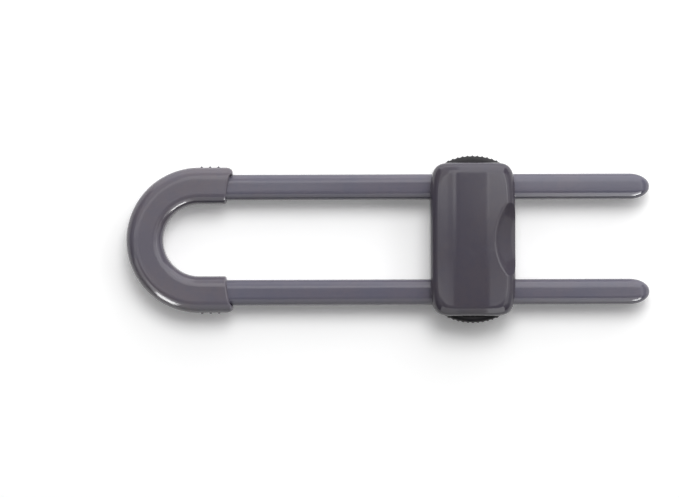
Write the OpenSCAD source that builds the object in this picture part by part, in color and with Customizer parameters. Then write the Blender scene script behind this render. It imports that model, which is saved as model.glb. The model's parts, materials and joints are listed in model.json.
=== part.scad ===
// Slide lock for a pair of cabinet doors: a U of two toothed legs in a round bow, and a
// locking head that slides along the legs and lets go when both its buttons are pressed.
// X runs along the legs to their tips, Y runs across them and Z points away from the door.
// The origin lies on the door side, below the middle of the whole lock.

/* [Whole lock] */
// Length from the round of the bow to the tips of the legs
lock_len = 180; // [160:1:240]

/* [Legs] */
// Distance from the middle of the lock to the middle of each leg
leg_offset = 18.1; // [18:0.1:26]
// Width of a leg
leg_w = 8.8; // [8.4:0.1:10]
// Height of a leg
leg_h = 9; // [8:0.1:10]
// Height of the legs' underside above the door
leg_lift = 2; // [1.9:0.1:2.4]
// Radius along the upper edges of a leg
leg_top_r = 3; // [1:0.1:3.6]
// Radius along the lower edges of a leg
leg_bottom_r = 1.2; // [0.6:0.1:1.6]
// Length of a leg's rounded tip, seen from above
nose_len = 7; // [5:0.5:10]
// Length of a leg's rounded tip, seen from the side
nose_side_len = 4; // [2:0.5:5]
// Wall left around the hollows in a leg's underside
pocket_wall = 1.9; // [1.4:0.1:2.2]
// Length of each hollow in a leg's underside
pocket_len = 13; // [8:0.5:15]
// Thickness of the webs between those hollows
pocket_web = 1.6; // [1.2:0.1:3]
// Thickness of the top of a leg above those hollows
pocket_top_t = 2; // [1.5:0.1:3]

/* [Ratchet] */
// Spacing of the ratchet teeth
tooth_pitch = 3; // [2.6:0.1:3.4]
// Depth of the rack in the inner side of a leg
tooth_depth = 1.5; // [1.2:0.1:1.6]
// Flat top between two teeth of the rack
tooth_land = 0.5; // [0.4:0.1:0.8]
// Height of the rack, from the leg's underside up
rack_h = 4.9; // [4.5:0.1:5.5]
// Smooth length of a leg between the bow and the rack
rack_setback = 10.4; // [4:0.1:16]
// Number of teeth from the start of the rack to the middle of the head
head_tooth_count = 24; // [12:1:30]
// Number of teeth on each pawl
pawl_teeth = 3; // [2:1:3]
// Play between pawl and rack along the leg
tooth_side_clear = 0.15; // [0.1:0.01:0.2]
// Play between the pawl's tips and the rack
tooth_tip_clear = 0.25; // [0.2:0.01:0.3]

/* [Bow] */
// Wall between a leg's socket and the gap inside the bow
bow_inner_wall = 1.2; // [1:0.1:2]
// Wall between a leg's socket and the outside of the bow
bow_outer_wall = 2.4; // [2:0.1:4]
// Thickness of the bow above the legs
bow_top_t = 1.9; // [1.5:0.1:2.5]
// Wall of the bow's hollow bend
bow_wall = 2; // [1.6:0.1:2.6]
// Length of the bow's straight arms, outside
bow_arm_len = 11.6; // [11:0.1:16]
// How far the hollow curve of an arm's end draws back on its inner side
bow_end_curve = 2.2; // [0.4:0.1:3]
// Height of the seam between the bow's two shells
bow_split = 6.5; // [6:0.1:7.5]
// Radius along the bow's outer upper edge
bow_outer_top_r = 4.5; // [2.2:0.1:4.6]
// Radius along the bow's inner upper edge
bow_inner_top_r = 3.5; // [2.2:0.1:3.6]
// Radius along the bow's outer lower edge
bow_outer_bottom_r = 2.5; // [1:0.1:3]
// Radius along the bow's inner lower edge
bow_inner_bottom_r = 2; // [1:0.1:2.5]
// Length of a leg inside its socket
socket_depth = 10.4; // [9:0.1:11]
// Play of a leg in its socket
socket_clear = 0.1; // [0.05:0.01:0.15]
// Number of grip ribs on the outside of each arm
grip_count = 3; // [0:1:3]
// Spacing of the grip ribs
grip_pitch = 2.9; // [1.6:0.1:3.4]
// Diameter of a grip rib, half of which stands proud
grip_d = 0.8; // [0.4:0.1:1.2]

/* [Head] */
// Length of the head along the legs
head_w = 29.2; // [28.6:0.1:36]
// Wall of the head where the legs pass through it
head_side_wall = 1.8; // [1.4:0.1:2.2]
// Wall of the head around the buttons
head_end_wall = 1.6; // [1.2:0.1:2]
// Thickness of the head's top
head_top_t = 2; // [1.6:0.1:3]
// Free height between the yokes and the head's ceiling
head_room = 3.35; // [3:0.05:5]
// Height of the seam between the head's two shells
head_split = 5; // [4.6:0.1:5.6]
// Radius along the upper edge of the head
head_edge_r = 3.6; // [2.4:0.1:4]
// Rise of the head's top from its rounded edge to its middle
head_crown = 0.5; // [0.2:0.1:1]
// Radius along the lower edge of the head
head_bottom_r = 1.2; // [0.6:0.1:1.4]
// Play between a leg and the head
tunnel_clear = 0.25; // [0.2:0.01:0.35]
// Radius of the thumb scoop in the head's top
scoop_r = 30; // [26:0.1:36]
// Radius of the scoop's edge on the head's top
scoop_edge_r = 20; // [17:0.1:21]
// Distance of the scoop's middle beyond the head's edge
scoop_out = 13.1; // [12:0.1:15]
// Thickness of the skin below the scoop
scoop_skin = 2; // [1.4:0.1:2.4]

/* [Buttons] */
// Width of a button
pad_w = 19.5; // [16:0.1:20]
// Height of a button's lower edge above the door
pad_low = 3; // [2.8:0.1:4]
// Height of a button above its yoke
pad_cap = 0.85; // [0.6:0.01:0.9]
// How far a button stands out of the head
pad_proud = 2.45; // [2.2:0.05:4]
// Radius of a button's bulging face
pad_dome_r = 20.8; // [20:0.1:40]
// Inward travel of a button
press_travel = 1.9; // [1.85:0.01:2.2]
// Play left between a pressed button and the leg
pad_clear = 0.15; // [0.1:0.01:0.3]
// How far a button's back lies outside the head's inner wall
pad_inset = 0.2; // [0:0.05:0.4]
// Play of a button in its window
window_clear = 0.2; // [0.1:0.01:0.3]
// Spacing of the ribs on a button
pad_rib_pitch = 1.7; // [1.2:0.1:2.4]
// Diameter of a rib on a button
pad_rib_d = 0.9; // [0.6:0.1:1.1]
// How far a rib stands out of a button's face
pad_rib_proud = 0.3; // [0.2:0.05:0.4]

/* [Pawl yokes] */
// Width of a yoke along the leg
yoke_w = 12; // [11:0.1:12.4]
// Thickness of the yoke's bridge over the leg
yoke_t = 1.8; // [1.4:0.1:2.2]
// Thickness of the pawl's arm beside the leg
arm_t = 2.4; // [2:0.1:2.6]
// Gap between the pawl's arm and the leg
arm_gap = 0.3; // [0.25:0.01:0.4]
// Gap between the yoke's bridge and the leg
yoke_clear = 0.35; // [0.3:0.01:0.5]
// Gap between the foot of the pawl's arm and the head's floor
foot_clear = 0.3; // [0.2:0.01:0.4]
// Width of the tongue that carries the button
tongue_w = 10; // [8:0.1:10.6]
// Length of the tongue inside the button
tongue_len = 1.85; // [1.4:0.05:1.9]
// Play of the tongue in the button
tongue_clear = 0.1; // [0.05:0.01:0.15]
// Diameter of the stop peg that the yoke slides along
peg_d = 3; // [2.4:0.1:3.6]
// Play of the stop peg in the yoke's slot
peg_clear = 0.1; // [0.08:0.01:0.2]

/* [Springs] */
// Outer diameter of a spring
spring_d = 5.2; // [4.8:0.1:5.6]
// Diameter of the spring wire
wire_d = 0.6; // [0.4:0.05:0.7]
// Turns of a spring
spring_turns = 6.5; // [4.5:0.5:7.5]
// Height of the springs' middle above the door
spring_z = 6.5; // [6.3:0.1:7]
// Diameter of the bosses that the spring ends sit on
spring_boss_d = 3.4; // [2.6:0.1:3.5]
// Length of those bosses
spring_boss_len = 1.5; // [1:0.1:2]
// Play between a spring end and its seat
spring_seat_clear = 0.05; // [0.02:0.01:0.1]

/* [Screws] */
// Diameter of the screws
screw_d = 2; // [1.8:0.1:2.2]
// Diameter of the screw heads
screw_head_d = 3.9; // [3.4:0.1:4]
// Height of the screw heads
screw_head_h = 1.4; // [1:0.1:1.4]
// Depth of the screw heads below the underside
screw_sunk = 0.3; // [0.2:0.1:0.3]
// Length of the screws below the head
screw_len = 8.3; // [7:0.1:8.6]
// Play around a screw in the lower shell and around its head
screw_clear = 0.3; // [0.2:0.05:0.35]
// Play around a screw in its pilot hole
pilot_clear = 0.1; // [0.05:0.01:0.15]
// Diameter of the screw bosses
boss_d = 5; // [4.8:0.1:5.2]
// Play between a leg and the screw boss that passes through it
boss_clear = 0.1; // [0.08:0.01:0.15]

/* [Hidden] */
$fn = 64;

// Extra reach of every cutting shape past the face that it opens
over = 1;
// Reach of a rib or boss into the wall that carries it
root = 0.4;
// Segments of a rounded edge in a section
arc_steps = 6;
// Segments of a leg's rounded tip
nose_steps = 20;
// Points of the head's outline, a rounded oblong with slightly bulging sides
outline_points = 48;
// Roundness of that outline: 0 is a rectangle and 1 an ellipse
outline_round_share = 0.285;
// Shares of the head's half width at which its crowned top is drawn in
crown_shares = [0.4, 0.8];

// Places along the lock
tip_x = lock_len / 2;
leg_in = leg_offset - leg_w / 2;
leg_out = leg_offset + leg_w / 2;
leg_top = leg_lift + leg_h;
bow_r_in = leg_in - socket_clear - bow_inner_wall;
bow_r_out = leg_out + socket_clear + bow_outer_wall;
bow_r_mid = (bow_r_in + bow_r_out) / 2;
bow_x = -lock_len / 2 + bow_r_out;
bow_end_x = bow_x + bow_arm_len;
leg_x = bow_end_x - socket_depth;
leg_len = tip_x - leg_x;
leg_screw_x = (leg_x + bow_end_x - bow_end_curve) / 2;
rack_x = bow_end_x + rack_setback;
rack_count = floor((tip_x - rack_x) / tooth_pitch);
head_x = rack_x + head_tooth_count * tooth_pitch;

// Heights
bow_h = leg_top + socket_clear + bow_top_t;
bow_floor = leg_lift - socket_clear;
bow_boss_top = leg_lift + leg_h / 3;
floor_z = leg_lift - tunnel_clear;
yoke_low = leg_top + yoke_clear;
yoke_high = yoke_low + yoke_t;
ceiling_z = yoke_high + head_room;
head_h = ceiling_z + head_top_t;
edge_z = head_h - head_crown - head_edge_r;
pad_high = yoke_high + pad_cap;
rack_top = leg_lift + rack_h;

// The head across the legs
pad_back = leg_out + press_travel + pad_clear;
head_half_l = pad_back + pad_inset + head_end_wall;
head_half_w = head_w / 2;
room_half_w = head_half_w - head_side_wall;
room_half_l = head_half_l - head_end_wall;
pad_face = head_half_l + pad_proud - pad_rib_proud;
scoop_z = head_h + sqrt(scoop_r * scoop_r - scoop_edge_r * scoop_edge_r);

// The pawl's arm and the spring behind it
arm_face = leg_in - arm_gap;
arm_back = arm_face - arm_t;
spine_half = spring_boss_d * 0.3;
spine_w = yoke_w * 0.8;
spine_high = spring_z + spring_d * 0.65;
spring_from = spine_half + spring_seat_clear;
spring_to = arm_back - spring_seat_clear;

// Guide ribs beside the yokes and hold-down ribs above them
guide_t = yoke_t * 0.65;
guide_x = yoke_w / 2 + peg_clear * 2;
guide_from = arm_back + arm_t / 3;
guide_to = leg_out - arm_gap;
hold_gap = foot_clear;

// Screw places
boss_bite = root;
head_boss_x = room_half_w - boss_d / 2 + boss_bite;
head_boss_y = arm_back - boss_d / 2 + boss_bite / 2;
seat_z = screw_sunk + screw_head_h;
screw_end = seat_z + screw_len;
pilot_end = screw_end + root;
cross_w = screw_head_d / 5;
cross_l = screw_head_d * 0.6;
cross_deep = screw_head_h * 0.6;

// Grip ribs on the bow's arms
grip_x = bow_x + grip_pitch / 3;

// Colours of the moulded plastics and the steel
leg_grey = [0.44, 0.42, 0.47];
bow_grey = [0.41, 0.39, 0.42];
head_grey = [0.33, 0.31, 0.35];
pad_grey = [0.17, 0.16, 0.18];
yoke_white = [0.85, 0.85, 0.82];
steel = [0.7, 0.7, 0.72];

// Points of an arc about c from angle a to angle b
function arc(c, r, a, b) = [for (i = [0:arc_steps])
    let (t = a + (b - a) * i / arc_steps) [c[0] + r * cos(t), c[1] + r * sin(t)]];

// Oblong section with radii at its lower left, lower right, upper right and upper left
function section(x0, x1, y0, y1, r) = concat(
    arc([x0 + r[0], y0 + r[0]], r[0], 180, 270),
    arc([x1 - r[1], y0 + r[1]], r[1], 270, 360),
    arc([x1 - r[2], y1 - r[2]], r[2], 0, 90),
    arc([x0 + r[3], y1 - r[3]], r[3], 90, 180));

// A leg's section, grown by a clearance all round
function leg_section(gap) = section(leg_in - gap, leg_out + gap, leg_lift - gap, leg_top + gap,
    [leg_bottom_r + gap, leg_bottom_r + gap, leg_top_r + gap, leg_top_r + gap]);

// The bow's section, drawn in by a wall all round
function bow_section(wall) = section(bow_r_in + wall, bow_r_out - wall, wall, bow_h - wall,
    [for (r = [bow_inner_bottom_r, bow_outer_bottom_r, bow_outer_top_r, bow_inner_top_r])
        max(r - wall, bow_wall / 4)]);

// Half outline that ends in half an ellipse at x1
function nose_outline(x0, x1, half, len) = concat([[x0, -half]],
    [for (i = [0:nose_steps]) let (t = -90 + 180 * i / nose_steps)
        [x1 - len + len * cos(t), half * sin(t)]],
    [[x0, half]]);

// The head's outline with the given half sizes
function oblong(half_w, half_l) = [for (i = [0:outline_points - 1])
    let (t = 360 * (i + 0.5) / outline_points, e = outline_round_share)
    [half_w * sign(cos(t)) * pow(abs(cos(t)), e), half_l * sign(sin(t)) * pow(abs(sin(t)), e)]];

// Runs a section in the YZ plane along X
module along_x(x0, x1) translate([x0, 0, 0]) rotate([90, 0, 90]) linear_extrude(x1 - x0) children();

// Puts a shape on both sides of the lock's middle
module both_sides() {
    children();
    mirror([0, 1, 0]) children();
}

// Solid through a stack of outlines, each given as its height and its half sizes
module stack(levels) {
    n = outline_points;
    last = len(levels) - 1;
    points = [for (l = levels) for (p = oblong(l[1], l[2])) [p[0], p[1], l[0]]];
    walls = [for (k = [0:last - 1]) for (i = [0:n - 1]) let (j = (i + 1) % n)
        each [[k * n + i, k * n + n + i, k * n + n + j], [k * n + i, k * n + n + j, k * n + j]]];
    caps = [[for (i = [0:n - 1]) i], [for (i = [n - 1:-1:0]) last * n + i]];
    polyhedron(points = points, faces = concat(caps, walls));
}

// Leg on the +Y side, with its rack, its hollow underside and the hole for the bow's screw boss
module leg() {
    pocket_from = bow_end_x + pocket_wall;
    pocket_to = tip_x - nose_len - pocket_wall;
    pocket_step = pocket_len + pocket_web;
    pocket_count = floor((pocket_to - pocket_from + pocket_web) / pocket_step);
    pocket_y = leg_in + tooth_depth + pocket_wall;
    difference() {
        intersection() {
            along_x(leg_x, tip_x) polygon(leg_section(0));
            translate([0, leg_offset, 0]) linear_extrude(leg_top)
                polygon(nose_outline(leg_x, tip_x, leg_w / 2, nose_len));
            translate([0, leg_out, leg_lift + leg_h / 2]) rotate([90, 0, 0]) linear_extrude(leg_w)
                polygon(nose_outline(leg_x, tip_x, leg_h / 2, nose_side_len));
        }
        for (i = [0:rack_count - 1]) rack_valley(rack_x + i * tooth_pitch);
        for (i = [0:pocket_count - 1])
            translate([pocket_from + i * pocket_step, pocket_y, leg_lift - over])
                cube([pocket_len, leg_out - pocket_wall - pocket_y, leg_h - pocket_top_t + over]);
        translate([leg_screw_x, leg_offset, leg_lift - over])
            cylinder(d = boss_d + 2 * boss_clear, h = leg_h + 2 * over);
    }
}

// One valley of the rack, steep towards the tip so that the head can't be pulled off
module rack_valley(x) translate([x, leg_in, leg_lift - over]) linear_extrude(rack_h + over)
    polygon([[tooth_land, -over], [tooth_pitch, -over], [tooth_pitch, tooth_depth], [tooth_land, 0]]);

// Whole bow before it is split: a hollow bend and two solid arms with a socket each
module bow() {
    translate([bow_x, 0, 0]) rotate([0, 0, 90]) rotate_extrude(angle = 180) difference() {
        polygon(bow_section(0));
        polygon(bow_section(bow_wall));
    }
    both_sides() {
        arm();
        grip_ribs();
    }
}

// Arm of the bow on the +Y side: its end is a hollow curve over the leg, and its outer wall
// runs on past that as a lip
module arm() difference() {
    end_w = bow_r_out - bow_r_in;
    end_r = (end_w * end_w + bow_end_curve * bow_end_curve) / (2 * bow_end_curve);
    along_x(bow_x, bow_end_x) polygon(bow_section(0));
    along_x(leg_x - socket_clear, bow_end_x + over) polygon(leg_section(socket_clear));
    intersection() {
        translate([bow_end_x - bow_end_curve + end_r, bow_r_in, -over])
            cylinder(r = end_r, h = bow_h + 2 * over);
        translate([leg_x, 0, -over])
            cube([bow_end_x - leg_x + over, leg_out + socket_clear, bow_h + 2 * over]);
    }
}

// Upright grip ribs, half sunk into the outside of an arm
module grip_ribs() for (i = [0:1:grip_count - 1])
    translate([grip_x + i * grip_pitch, bow_r_out, bow_outer_bottom_r])
        cylinder(d = grip_d, h = bow_h - bow_outer_bottom_r - bow_outer_top_r);

// Places of the bow's screws: one in the bend and one through each leg
module at_bow_screws() {
    translate([bow_x - bow_r_mid, 0, 0]) children();
    both_sides() translate([leg_screw_x, leg_offset, 0]) children();
}

// Places of the head's screws
module at_head_screws() translate([head_x, 0, 0])
    for (x = [-head_boss_x, head_boss_x], y = [-head_boss_y, head_boss_y]) translate([x, y, 0]) children();

// Slab over the whole lock between two heights
module slab(z0, z1) translate([-lock_len / 2 - over, -lock_len / 2, z0])
    cube([lock_len + 2 * over, lock_len, z1 - z0]);

// Hole for a screw and its head in a lower shell
module screw_hole() {
    translate([0, 0, -over]) cylinder(d = screw_head_d + screw_clear, h = seat_z + over);
    translate([0, 0, -over]) cylinder(d = screw_d + screw_clear, h = head_h);
}

// Pan-head screw with a crossed recess, its head down
module screw() difference() {
    union() {
        translate([0, 0, screw_sunk]) cylinder(d = screw_head_d, h = screw_head_h);
        translate([0, 0, seat_z]) cylinder(d = screw_d, h = screw_len - screw_d / 2);
        translate([0, 0, screw_end - screw_d / 2]) cylinder(d1 = screw_d, d2 = screw_d / 4, h = screw_d / 2);
    }
    for (t = [0, 90]) rotate([0, 0, t])
        translate([-cross_l / 2, -cross_w / 2, -over])
            cube([cross_l, cross_w, screw_sunk + cross_deep + over]);
}

module bow_cover() color(bow_grey) difference() {
    union() {
        intersection() {
            bow();
            slab(bow_split, bow_h + over);
        }
        at_bow_screws() translate([0, 0, bow_boss_top])
            cylinder(d = boss_d, h = bow_h - root - bow_boss_top);
    }
    at_bow_screws() translate([0, 0, bow_boss_top - over])
        cylinder(d = screw_d + pilot_clear, h = pilot_end - bow_boss_top + over);
}

module bow_base() color(bow_grey) difference() {
    union() {
        intersection() {
            bow();
            slab(-over, bow_split);
        }
        at_bow_screws() translate([0, 0, root]) cylinder(d = boss_d, h = bow_boss_top - root);
    }
    at_bow_screws() screw_hole();
}

module bow_screws() color(steel) at_bow_screws() screw();

module rail_left() color(leg_grey) leg();

module rail_right() color(leg_grey) mirror([0, 1, 0]) leg();

// What both shells of the head let through: the legs, the buttons and the screws' shanks
module head_openings() {
    both_sides() {
        along_x(-head_half_w - over, head_half_w + over) polygon(leg_section(tunnel_clear));
        translate([-pad_w / 2 - window_clear, room_half_l - over, pad_low - window_clear])
            cube([pad_w + 2 * window_clear, head_end_wall + 2 * over,
                pad_high - pad_low + 2 * window_clear]);
    }
}

// Ribs and pegs that hang from the head's ceiling on the +Y side
module ceiling_ribs() {
    top = ceiling_z + root;
    for (x = [guide_x, -guide_x - guide_t]) translate([x, guide_from, yoke_low])
        cube([guide_t, guide_to - guide_from, top - yoke_low]);
    for (y = [leg_in, leg_out - peg_d]) translate([-guide_x, y, yoke_high + hold_gap])
        cube([2 * guide_x, guide_t, top - yoke_high - hold_gap]);
    translate([0, leg_offset, leg_top + 2 * tunnel_clear])
        cylinder(d = peg_d, h = top - leg_top - 2 * tunnel_clear);
}

module head_cover() color(head_grey) translate([head_x, 0, 0]) difference() {
    stack(concat([[head_split, head_half_w, head_half_l]],
        [for (i = [0:arc_steps]) let (t = 90 * i / arc_steps, inset = head_edge_r * (1 - cos(t)))
            [edge_z + head_edge_r * sin(t), head_half_w - inset, head_half_l - inset]],
        [for (s = crown_shares) let (inset = head_edge_r + s * (head_half_w - head_edge_r))
            [head_h - head_crown * pow(1 - s / crown_shares[1], 2),
                head_half_w - inset, head_half_l - inset]]));
    difference() {
        stack(concat([[head_split - over, room_half_w, room_half_l]],
            [for (i = [0:2:arc_steps]) let (t = 90 * i / arc_steps, r = head_edge_r / 2)
                [ceiling_z - r + r * sin(t), room_half_w - r + r * cos(t), room_half_l - r + r * cos(t)]]));
        translate([head_half_w + scoop_out, 0, scoop_z]) sphere(r = scoop_r + scoop_skin);
        both_sides() ceiling_ribs();
        for (x = [-head_boss_x, head_boss_x], y = [-head_boss_y, head_boss_y])
            translate([x, y, head_split]) cylinder(d = boss_d, h = ceiling_z + root - head_split);
    }
    head_openings();
    translate([head_half_w + scoop_out, 0, scoop_z]) sphere(r = scoop_r);
    for (x = [-head_boss_x, head_boss_x], y = [-head_boss_y, head_boss_y])
        translate([x, y, head_split - over])
            cylinder(d = screw_d + pilot_clear, h = pilot_end - head_split + over);
}

module head_base() color(head_grey) difference() {
    union() {
        translate([head_x, 0, 0]) difference() {
            stack(concat([for (i = [0:2:arc_steps])
                let (t = 90 * i / arc_steps, inset = head_bottom_r * (1 - sin(t)))
                [head_bottom_r * (1 - cos(t)), head_half_w - inset, head_half_l - inset]],
                [[head_split, head_half_w, head_half_l]]));
            stack([[floor_z, room_half_w, room_half_l], [head_split + over, room_half_w, room_half_l]]);
            head_openings();
        }
        at_head_screws() translate([0, 0, floor_z - root])
            cylinder(d = boss_d, h = head_split - floor_z + root);
        translate([head_x, 0, 0]) base_ribs();
    }
    at_head_screws() screw_hole();
}

// Spine with the bosses for both springs, and guides beside the pawls' arms
module base_ribs() {
    translate([-spine_w / 2, -spine_half, floor_z - root])
        cube([spine_w, 2 * spine_half, spine_high - floor_z + root]);
    translate([0, -spine_half - spring_boss_len, spring_z]) rotate([-90, 0, 0])
        cylinder(d = spring_boss_d, h = 2 * (spine_half + spring_boss_len));
    both_sides() for (x = [guide_x, -guide_x - guide_t])
        translate([x, arm_back - press_travel, floor_z - root])
            cube([guide_t, leg_in - tunnel_clear - arm_gap - arm_back + press_travel,
                head_split - floor_z + root]);
}

module head_screws() color(steel) at_head_screws() screw();

// Outline of a button from above: a flat back, and a bulging face with rounded ribs
function pad_outline() = let (
    middle = pad_face - pad_dome_r,
    edge = asin(pad_w / 2 / pad_dome_r),
    step = asin(pad_rib_pitch / pad_dome_r),
    ribs = floor((edge - step / 2) / step),
    rib_half = asin(pad_rib_d / 2 / pad_dome_r),
    face = [for (i = [-ribs:ribs]) for (k = [0:arc_steps]) let (t = 180 * k / arc_steps)
        [i * step - rib_half * cos(t), pad_dome_r + pad_rib_proud * sin(t)]])
    concat([[-pad_w / 2, pad_back], [-pad_w / 2, middle + pad_dome_r * cos(edge)]],
        [for (p = face) [p[1] * sin(p[0]), middle + p[1] * cos(p[0])]],
        [[pad_w / 2, middle + pad_dome_r * cos(edge)], [pad_w / 2, pad_back]]);

// Button on the +Y side, with a pocket for the yoke's tongue
module pad() translate([head_x, 0, pad_low]) difference() {
    linear_extrude(pad_high - pad_low) polygon(pad_outline());
    translate([-tongue_w / 2 - tongue_clear, pad_back - over, yoke_low - tongue_clear - pad_low])
        cube([tongue_w + 2 * tongue_clear, tongue_len + tongue_clear + over, yoke_t + 2 * tongue_clear]);
}

module button_pad_left() color(pad_grey) pad();

module button_pad_right() color(pad_grey) mirror([0, 1, 0]) pad();

// Pawl and yoke on the +Y side: an arm with teeth beside the leg and a slotted bridge over it
module yoke() translate([head_x, 0, 0]) difference() {
    foot = floor_z + foot_clear;
    tooth_from = leg_lift + foot_clear;
    tooth_high = rack_h - 2 * foot_clear;
    union() {
        translate([-yoke_w / 2, arm_back, foot]) cube([yoke_w, arm_t, yoke_high - foot]);
        translate([-yoke_w / 2, arm_back, yoke_low]) cube([yoke_w, pad_back - arm_back, yoke_t]);
        translate([-tongue_w / 2, pad_back - root, yoke_low]) cube([tongue_w, tongue_len + root, yoke_t]);
        translate([0, arm_back + root, spring_z]) rotate([90, 0, 0])
            cylinder(d = spring_boss_d, h = spring_boss_len + root);
        for (i = [0:pawl_teeth - 1])
            translate([(i - floor(pawl_teeth / 2)) * tooth_pitch, 0, tooth_from]) pawl_tooth(tooth_high);
    }
    translate([0, leg_offset, yoke_low - over]) linear_extrude(yoke_t + 2 * over) slot();
}

// Tooth of the pawl, as one valley of the rack less its play
module pawl_tooth(h) linear_extrude(h) polygon([
    [tooth_land - tooth_side_clear, arm_face - root],
    [tooth_pitch - tooth_side_clear, arm_face - root],
    [tooth_pitch - tooth_side_clear, leg_in + tooth_depth - tooth_tip_clear],
    [tooth_land - tooth_side_clear, leg_in - tooth_tip_clear]]);

// Slot around the stop peg, open outwards by the button's travel
module slot() {
    r = peg_d / 2 + peg_clear;
    circle(r = r);
    translate([-r, 0]) square([2 * r, press_travel]);
    translate([0, press_travel]) circle(r = r);
}

module pawl_yoke_left() color(yoke_white) yoke();

module pawl_yoke_right() color(yoke_white) mirror([0, 1, 0]) yoke();

// Spring on the +Y side, one wire wound from the spine to the pawl's arm
coil_r = (spring_d - wire_d) / 2;
coil_from = spring_from + wire_d / 2;
coil_to = spring_to - wire_d / 2;
coil_pitch = (coil_to - coil_from) / spring_turns;
coil_rings = 8;
coil_sides = 6;
coil_last = round(spring_turns * coil_rings);
function coil_at(t) = [coil_r * cos(t), coil_from + coil_pitch * t / 360, coil_r * sin(t)];

// A ring of the wire, in the plane square to its path
function coil_ring(t) = let (
    rise = coil_pitch / (2 * PI * coil_r),
    out = [cos(t), 0, sin(t)],
    along = [-sin(t), rise, cos(t)] / sqrt(1 + rise * rise),
    side = cross(along, out))
    [for (i = [0:coil_sides - 1]) let (a = 360 * i / coil_sides)
        coil_at(t) + wire_d / 2 * (out * cos(a) + side * sin(a))];

// Least gap of the wire to itself, measured on points of the path at least half a turn apart
coil_path = [for (k = [0:coil_last]) coil_at(360 * k / coil_rings)];
coil_gap = min([for (a = [0:coil_last]) for (b = [a + coil_rings / 2:1:coil_last])
    norm(coil_path[a] - coil_path[b])]) - wire_d;
echo(least_spring_gap = coil_gap);

module coil() translate([head_x, 0, spring_z]) {
    n = coil_sides;
    points = [for (k = [0:coil_last]) each coil_ring(360 * k / coil_rings)];
    walls = [for (k = [0:coil_last - 1]) for (i = [0:n - 1]) let (j = (i + 1) % n)
        each [[k * n + i, k * n + j, k * n + n + j], [k * n + i, k * n + n + j, k * n + n + i]]];
    caps = [[for (i = [n - 1:-1:0]) i], [for (i = [0:n - 1]) coil_last * n + i]];
    polyhedron(points = points, faces = concat(caps, walls));
}

module spring_left() color(steel) coil();

module spring_right() color(steel) mirror([0, 1, 0]) coil();

rail_left();
rail_right();
bow_cover();
bow_base();
bow_screws();
head_cover();
head_base();
head_screws();
button_pad_left();
button_pad_right();
pawl_yoke_left();
pawl_yoke_right();
spring_left();
spring_right();
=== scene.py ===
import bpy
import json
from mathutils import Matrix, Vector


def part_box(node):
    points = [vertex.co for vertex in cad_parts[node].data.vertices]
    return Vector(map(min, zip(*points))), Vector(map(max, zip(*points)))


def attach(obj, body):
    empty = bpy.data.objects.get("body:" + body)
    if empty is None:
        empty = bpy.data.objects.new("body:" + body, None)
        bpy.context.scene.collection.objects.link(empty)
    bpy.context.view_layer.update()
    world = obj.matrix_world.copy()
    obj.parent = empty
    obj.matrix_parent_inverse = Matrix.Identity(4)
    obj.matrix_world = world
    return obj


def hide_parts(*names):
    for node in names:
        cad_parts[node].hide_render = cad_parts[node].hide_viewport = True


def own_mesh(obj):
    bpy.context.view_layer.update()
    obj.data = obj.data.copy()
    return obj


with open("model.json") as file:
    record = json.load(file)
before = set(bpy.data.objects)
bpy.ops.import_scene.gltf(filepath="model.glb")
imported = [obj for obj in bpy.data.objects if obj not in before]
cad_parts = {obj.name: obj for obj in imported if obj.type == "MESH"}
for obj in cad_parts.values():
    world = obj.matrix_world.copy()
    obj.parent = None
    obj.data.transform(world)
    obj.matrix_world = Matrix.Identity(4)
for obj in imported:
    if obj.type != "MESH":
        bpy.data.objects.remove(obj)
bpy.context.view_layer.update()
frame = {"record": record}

import json
from math import asin, cos, hypot, pi, radians, sin, sqrt, tan

import bmesh
import bpy
from mathutils import Vector

# The lock is modelled in millimetres, and each finished piece is brought to metres by settle().
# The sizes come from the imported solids, so that each piece lies where its solid is.


def solid(node):
    """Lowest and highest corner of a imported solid, in millimetres."""
    low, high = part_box(node)
    return low * 1000, high * 1000


rail_low, rail_high = solid("rail_left")
bow_low, bow_high = solid("bow_cover")
cover_low, cover_high = solid("head_cover")
pad_low, pad_high = solid("button_pad_left")

# Legs
LEG_IN, LEG_OUT = rail_low.y, rail_high.y
LEG_MID = (LEG_IN + LEG_OUT) / 2
LEG_LOW, LEG_TOP = rail_low.z, rail_high.z
LEG_HALF_W, LEG_HALF_H = (LEG_OUT - LEG_IN) / 2, (LEG_TOP - LEG_LOW) / 2
LEG_FROM, TIP_X = rail_low.x, rail_high.x
TOP_ROUND, LOW_ROUND = 3.0, 1.2
NOSE, NOSE_SIDE = 7.0, 4.0
RACK_FROM, RACK_HIGH = -43.0, 4.9
TOOTH_PITCH, TOOTH_LAND, TOOTH_DEPTH, TOOTH_COUNT = 3.0, 0.5, 1.5, 44
HOLLOW_LEN, HOLLOW_WEB, HOLLOW_WALL, HOLLOW_ROOF, HOLLOW_COUNT = 13.0, 1.6, 1.9, 2.0, 9
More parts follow.
